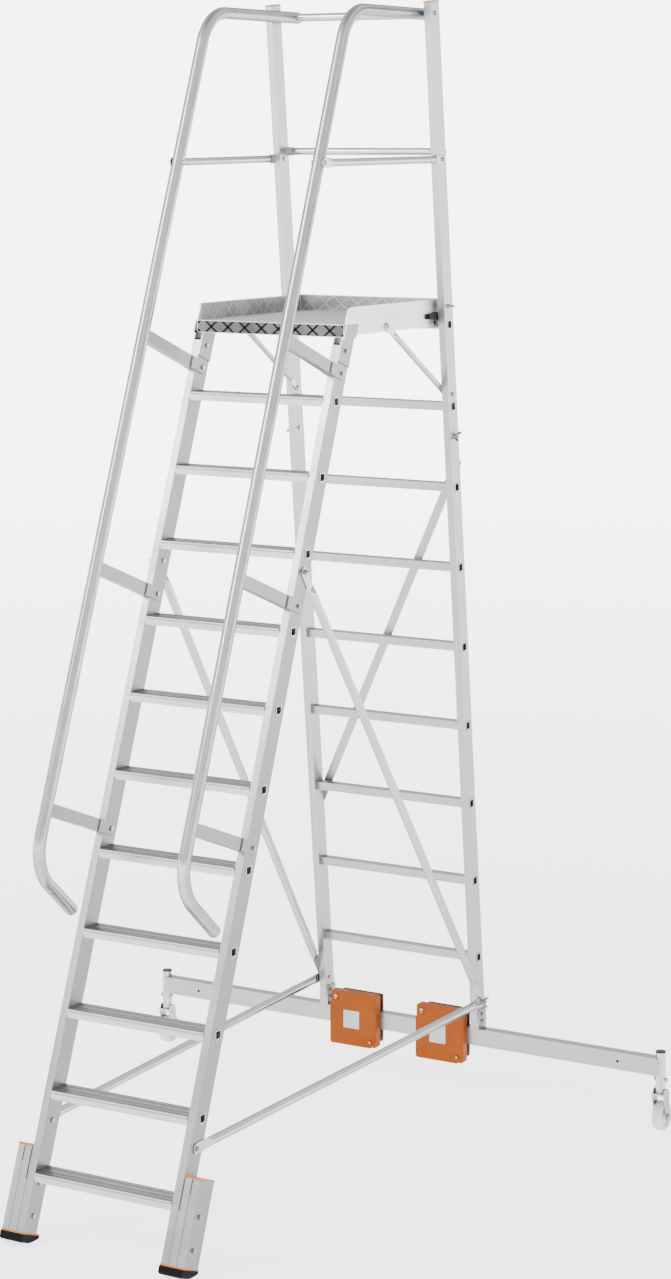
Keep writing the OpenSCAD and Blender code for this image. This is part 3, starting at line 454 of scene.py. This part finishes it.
def handrail_path():
    """(h, s, direction in degrees) along the handrail, from its low end to its top end."""
    path = []
    centre = (LOW_BEND_R - RAIL_GAP, LOW_BEND_S)
    turn = math.radians(180 + LOW_TURN)
    corner = (centre[0] + LOW_BEND_R * math.cos(turn), centre[1] + LOW_BEND_R * math.sin(turn))
    way = (-math.sin(turn), math.cos(turn))
    path.append((corner[0] + way[0] * LOW_END, corner[1] + way[1] * LOW_END, LOW_TURN + 90))
    for k in range(25):
        angle = 180 + LOW_TURN * (1 - k / 24)
        t = math.radians(angle)
        path.append((centre[0] + LOW_BEND_R * math.cos(t), centre[1] + LOW_BEND_R * math.sin(t),
                     angle - 90))
    centre = (TOP_BEND_R - RAIL_GAP, TOP_BEND_S)
    for k in range(25):
        angle = 180 - TOP_TURN * k / 24
        t = math.radians(angle)
        path.append((centre[0] + TOP_BEND_R * math.cos(t), centre[1] + TOP_BEND_R * math.sin(t),
                     angle - 90))
    last = path[-1]
    t = math.radians(last[2])
    path.append((last[0] + math.cos(t) * TOP_END, last[1] + math.sin(t) * TOP_END, last[2]))
    return path


def rail_rings(x, radius):
    rings = []
    for h, s, angle in handrail_path():
        t = math.radians(angle + 90)
        side = (math.cos(t), math.sin(t))
        rings.append([front(x + radius * math.cos(a), h + side[0] * radius * math.sin(a),
                            s + side[1] * radius * math.sin(a))
                      for a in angles(40)])
    return rings


def add_handrail(name, x):
    form = bmesh.new()
    add_hollow(form, rail_rings(x, RAIL_R), rail_rings(x, RAIL_R - RAIL_WALL))
    add_piece(name + "_tube", form, MATERIALS["rail"], stands_for=[name])


# Tubes with ends pressed flat: the flat's thickness, then as shares of the diameter how long
# the press is and how far the end goes past its bolt, and how much wider the flat is.
FLAT = 0.004
PRESS_SHARE, PAST_SHARE, FLAT_SPREAD = 1.15, 0.55, 0.22


def smooth_step(t):
    t = min(1, max(0, t))
    return t * t * (3 - 2 * t)


def add_pressed_tube(form, start, end, thin, dia, flat_a, flat_b):
    """A tube whose ends are pressed flat across the thin direction, and rounded."""
    r = dia / 2
    thin = thin.normalized()
    way = end - start
    shift = way.dot(thin)
    way -= thin * shift
    run = way.length
    way.normalize()
    wide = way.cross(thin)
    press = dia * PRESS_SHARE
    past = dia * PAST_SHARE

    def end_stops(flat):
        stops = [-past * math.cos(k * math.pi / 16) for k in range(9)]
        stops += [flat * k / 3 for k in range(1, 4)]
        return stops + [flat + press * k / 10 for k in range(1, 11)]

    rings = []
    for s in end_stops(flat_a) + [run - v for v in reversed(end_stops(flat_b))]:
        near_a = s < run / 2
        along = s if near_a else run - s
        flat = flat_a if near_a else flat_b
        round_share = smooth_step((along - flat) / press)
        half_t = FLAT / 2 + (r - FLAT / 2) * round_share
        half_w = r * (1 + FLAT_SPREAD - FLAT_SPREAD * round_share)
        if along < 0:
            half_w *= max(0.3, math.sqrt(max(0, 1 - (along / past) ** 2)))
        drift = smooth_step((s - flat_a) / (run - flat_a - flat_b)) * shift
        centre = start + way * s + thin * drift
        power = 0.45 + 0.55 * round_share
        ring = []
        for a in angles(32, 0.5):
            bulge = math.copysign(abs(math.cos(a)) ** power, math.cos(a))
            ring.append(centre + thin * half_t * bulge + wide * half_w * math.sin(a))
        rings.append(ring)
    skin(form, rings)


def mirrored(point):
    return Vector((-point.x, point.y, point.z))


def add_tube_pair(name, start, end, dia, flat_a, flat_b, form=None):
    """The same tube on both sides, in place of a CAD node."""
    form = form or bmesh.new()
    across = Vector((1, 0, 0))
    add_pressed_tube(form, start, end, across, dia, flat_a, flat_b)
    add_pressed_tube(form, mirrored(start), mirrored(end), across, dia, flat_a, flat_b)
    add_piece(name + "_tubes", form, MATERIALS["tube_alloy"], stands_for=[name])


STILE_OUT, POST_IN, POST_OUT, BOARD_IN, BOARD_OUT = 0.275, 0.293, 0.318, 0.277, 0.282
LOW_BOLT, DIAGONAL_BOLT = front(0, 0, 0.375), front(0, 0, 2.155)
BRACE_BOLT, STRUT_BOLT, MID_BOLT = rear(0, 0, 0.355), rear(0, 0, 2.519), rear(0, 0, 3.316)


def at_x(point, x):
    return Vector((x, point.y, point.z))


def add_tubes():
    add_handrail("handrail_left", -RAIL_X)
    add_handrail("handrail_right", RAIL_X)
    add_tube_pair("low_braces", at_x(LOW_BOLT, STILE_OUT + FLAT / 2),
                  at_x(BRACE_BOLT, POST_OUT + FLAT * 1.5), 0.028, 0.05, 0.04)
    add_tube_pair("diagonal_braces", at_x(DIAGONAL_BOLT, STILE_OUT + FLAT / 2),
                  at_x(BRACE_BOLT, POST_OUT + FLAT / 2), 0.028, 0.062, 0.092)
    add_tube_pair("deck_struts", Vector((BOARD_OUT + FLAT / 2, FRONT_Y + 1.291, 2.757)),
                  at_x(STRUT_BOLT, POST_IN - FLAT / 2), 0.019, 0.052, 0.048)
    form = bmesh.new()
    back, mid = 0.03 + FLAT / 2, (POST_IN + POST_OUT) / 2
    add_pressed_tube(form, rear(-mid, back, 3.338), rear(mid, back, 3.338),
                     rear(0, 1, 0) - rear(0, 0, 0), 0.025, 0.018, 0.018)
    add_tube_pair("mid_rails", Vector((RAIL_X + RAIL_R + FLAT / 2, FRONT_Y + 0.888, 3.29)),
                  at_x(MID_BOLT, POST_OUT + FLAT / 2), 0.025, 0.024, 0.04, form)


add_tubes()


# Raised diamond pattern of the deck sheet.
DECK_Z, BOARD_TOP = 2.774, 2.829
DECK_Y0 = FRONT_Y + 1.023
DECK_Y1 = DECK_Y0 + 0.664
PATTERN_PITCH, PATTERN_SLOPE = 0.064, 0.85


def clipped(polygon, low, high):
    """A flat polygon cut to a rectangle."""
    for axis in (0, 1):
        for limit, keep in ((low[axis], 1), (high[axis], -1)):
            kept = []
            for a, b in zip(polygon, polygon[1:] + polygon[:1]):
                da, db = keep * (a[axis] - limit), keep * (b[axis] - limit)
                if da >= 0:
                    kept.append(a)
                if da * db < 0:
                    t = da / (da - db)
                    kept.append((a[0] + t * (b[0] - a[0]), a[1] + t * (b[1] - a[1])))
            polygon = kept
            if len(polygon) < 3:
                return []
    return polygon


def add_pattern(form, low, high, lift, width, place, phase=0.0):
    """Crossing bars over a rectangle in u and v; place turns (u, v, lift) into a point."""
    height = high[1] - low[1]
    length = high[0] - low[0]
    half = width / 2 * math.hypot(1, PATTERN_SLOPE)
    reach = height / PATTERN_SLOPE
    first = low[0] - reach - PATTERN_PITCH
    for slope in (1, -1):
        for k in range(int((length + 2 * reach) / PATTERN_PITCH) + 3):
            u = first + phase + k * PATTERN_PITCH
            if slope < 0:
                u += reach
            bar = [(u - half, low[1]), (u + half, low[1]),
                   (u + half + slope * reach, high[1]), (u - half + slope * reach, high[1])]
            bar = clipped(bar, low, high)
            if len(bar) < 3:
                continue
            rims = []
            centre = (sum(p[0] for p in bar) / len(bar), sum(p[1] for p in bar) / len(bar))
            for level, grow in ((-0.0002, 1.0), (lift, 0.97)):
                rims.append([form.verts.new(place(centre[0] + (p[0] - centre[0]) * grow,
                                                  centre[1] + (p[1] - centre[1]) * grow, level))
                             for p in bar])
            count = len(bar)
            for i in range(count):
                j = (i + 1) % count
                form.faces.new((rims[0][i], rims[0][j], rims[1][j], rims[1][i]))
            form.faces.new(rims[1])
            form.faces.new(rims[0][::-1])


def add_sheet(form, low, high, lift, place):
    """A thin sheet over a rectangle in u and v."""
    rims = []
    for level, inset in ((-0.0002, 0), (lift, 0.0002)):
        rims.append([place(low[0] + inset, low[1] + inset, level),
                     place(high[0] - inset, low[1] + inset, level),
                     place(high[0] - inset, high[1] - inset, level),
                     place(low[0] + inset, high[1] - inset, level)])
    skin(form, rims)


def add_deck_pattern():
    """Pressed bars on the front fold, the inner faces of the boards and the walking face."""
    def on_fold(u, v, w):
        return Vector((u, DECK_Y0 - w, v))

    def on_back(u, v, w):
        return Vector((u, DECK_Y1 - w, v))

    def on_left(u, v, w):
        return Vector((-BOARD_IN + w, u, v))

    def on_right(u, v, w):
        return Vector((BOARD_IN - w, u, v))

    def on_deck(u, v, w):
        return Vector((u, v, DECK_Z + w))

    fold_low, fold_high = (-0.275, 2.7355), (0.275, DECK_Z - 0.0015)
    back_low, back_high = (-0.275, DECK_Z + 0.001), (0.275, BOARD_TOP - 0.003)
    side_low, side_high = (DECK_Y0 + 0.03, DECK_Z + 0.001), (DECK_Y1 - 0.002, BOARD_TOP - 0.003)
    fold, sheets, bars, dark_bars = (bmesh.new() for _ in range(4))
    add_sheet(fold, fold_low, fold_high, 0.0004, on_fold)
    add_pattern(dark_bars, fold_low, fold_high, 0.0011, 0.0075, on_fold, 0.01)
    add_sheet(sheets, back_low, back_high, 0.0004, on_back)
    add_pattern(bars, back_low, back_high, 0.001, 0.004, on_back)
    for place in (on_left, on_right):
        add_sheet(sheets, side_low, side_high, 0.0004, place)
        add_pattern(bars, side_low, side_high, 0.001, 0.004, place)
    add_piece("fold_sheet", fold, MATERIALS["fold_sheet"])
    add_piece("board_sheets", sheets, MATERIALS["board_sheet"])
    add_piece("fold_pattern", dark_bars, MATERIALS["pattern_dark"])
    add_piece("board_pattern", bars, MATERIALS["pattern_pale"])
    top = bmesh.new()
    add_pattern(top, (-0.27, DECK_Y0 + 0.006), (0.27, DECK_Y1 - 0.006), 0.0008, 0.0045, on_deck)
    add_piece("deck_pattern", top, MATERIALS["deck_plate"])


add_deck_pattern()


# Dark strips of painted shade on the floors of the grooves in the treads: one in the front face,
# three in the top.
TREAD_COUNT, TREAD_HALF, GROOVE_PITCH, GROOVE_W = 11, 0.2495, 0.008, 0.0024
DARK_GROOVES = (0, 3, 6)


def add_tread_grooves():
    for k in range(1, TREAD_COUNT + 1):
        low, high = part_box("tread_%d" % k)
        top = high.z
        strips = bmesh.new()
        add_slab(strips, (-TREAD_HALF, top - 0.0089), (TREAD_HALF, top - 0.0046),
                 low.y + 0.0009, low.y + 0.0018, 0.0001)
        for i in DARK_GROOVES:
            y = low.y + GROOVE_PITCH * (i + 1) + 0.0001
            corners = ((-TREAD_HALF, y), (TREAD_HALF, y),
                       (TREAD_HALF, y + GROOVE_W), (-TREAD_HALF, y + GROOVE_W))
            skin(strips, [[(x, v, top - 0.0014 + lift) for x, v in corners]
                          for lift in (0, 0.0005)])
        add_piece("grooves_%d" % k, strips, MATERIALS["groove"])


# Ballast blocks: a plain label, three short ribs and two capped screws on each. Places are
# from the middle of a block's foot; the face lies in front of the beam.
BALLAST_X, BALLAST_Z = 0.1745, 0.127
BALLAST_FACE_Y = REAR_Y - 0.0745
BALLAST_SCREWS = ((-0.07, 0.167), (0.07, 0.023))
CAP_STEPS = ((0.0005, 0.0078), (-0.003, 0.0078), (-0.0042, 0.0072), (-0.005, 0.0055))
DOT_STEPS = ((-0.0048, 0.0045), (-0.0053, 0.0042))


def add_slab(form, low, high, front_y, back_y, bevel):
    """A thin upright slab with a bevelled front."""
    rims = []
    for y, inset in ((back_y, 0), (front_y + bevel, 0), (front_y, bevel)):
        rims.append([(low[0] + inset, y, low[1] + inset), (high[0] - inset, y, low[1] + inset),
                     (high[0] - inset, y, high[1] - inset), (low[0] + inset, y, high[1] - inset)])
    skin(form, rims)


def add_discs_y(form, centres, steps):
    """Round discs about y at points (x, z): steps are (distance from the face, radius)."""
    for x, z in centres:
        skin(form, [[(x + r * math.cos(a), BALLAST_FACE_Y + y, z + r * math.sin(a))
                     for a in angles(24)] for y, r in steps])


def add_ballast_details():
    y = BALLAST_FACE_Y
    for side, name in ((-1, "left"), (1, "right")):
        x = side * BALLAST_X
        screws = [(x + u, BALLAST_Z + v) for u, v in BALLAST_SCREWS]
        label, caps, dots, ribs = (bmesh.new() for _ in range(4))
        add_slab(label, (x - 0.04, BALLAST_Z + 0.063), (x + 0.024, BALLAST_Z + 0.127),
                 y - 0.0002, y + 0.0008, 0.0002)
        add_discs_y(caps, screws, CAP_STEPS)
        add_discs_y(dots, screws, DOT_STEPS)
        for u in (-0.064, 0.043):
            add_slab(ribs, (x + u, BALLAST_Z + 0.008), (x + u + 0.003, BALLAST_Z + 0.032),
                     y - 0.0012, y + 0.0005, 0.0008)
        add_slab(ribs, (x + 0.086, BALLAST_Z + 0.016), (x + 0.0885, BALLAST_Z + 0.18),
                 y - 0.001, y + 0.0005, 0.0007)
        add_piece("screw_caps_" + name, caps, MATERIALS["ballast_paint"])
        add_piece("screw_dots_" + name, dots, MATERIALS["cap_paint"])
        add_piece("label_" + name, label, MATERIALS["label"])
        add_piece("ribs_" + name, ribs, MATERIALS["ballast_paint"])


# Dark pieces of painted shade behind the slots of the foot sleeves and behind the holes in the
# beam.
SLEEVE_INSIDE, SLEEVE_TOP = -0.034, 0.2875
SLEEVE_SLOTS = ((0.2776, 0.2815, 0.19), (0.304, 0.3085, 0.241))
BEAM_HOLE_X, BEAM_HOLE_Z, BEAM_INSIDE = 0.848, 0.223, 0.933011
HOLE_SHADE_R, HOLE_SHADE_DEPTHS = 0.008, (0.0001, 0.0006)


def add_painted_hole_shade():
    for side, name in ((-1, "left"), (1, "right")):
        hole_shade_form = bmesh.new()
        for x0, x1, s0 in SLEEVE_SLOTS:
            skin(hole_shade_form, [[front(side * x, SLEEVE_INSIDE + deep, s)
                           for x, s in ((x0, s0), (x1, s0), (x1, SLEEVE_TOP), (x0, SLEEVE_TOP))]
                          for deep in HOLE_SHADE_DEPTHS])
        skin(hole_shade_form, [[(side * BEAM_HOLE_X + HOLE_SHADE_R * math.cos(a), BEAM_INSIDE + deep,
                        BEAM_HOLE_Z + HOLE_SHADE_R * math.sin(a))
                       for a in angles(24)] for deep in HOLE_SHADE_DEPTHS])
        add_piece("painted_hole_shade_" + name, hole_shade_form, MATERIALS["latch_black"])


add_painted_hole_shade()

# Black caps over the ends of the latch pins.
LATCH_X, LATCH_PINS = 0.291, ((0.594011, 2.773), (0.630011, 2.752))
LATCH_CAP_STEPS = ((0.0001, 0.0074), (0.0026, 0.0074), (0.0032, 0.0066))


def add_latch_caps():
    for side, name in ((-1, "left"), (1, "right")):
        caps = bmesh.new()
        for y, z in LATCH_PINS:
            skin(caps, [[(side * (LATCH_X + out), y + r * math.cos(a), z + r * math.sin(a))
                         for a in angles(24)] for out, r in LATCH_CAP_STEPS])
        add_piece("latch_caps_" + name, caps, MATERIALS["latch_black"])


add_latch_caps()
add_ballast_details()
add_tread_grooves()
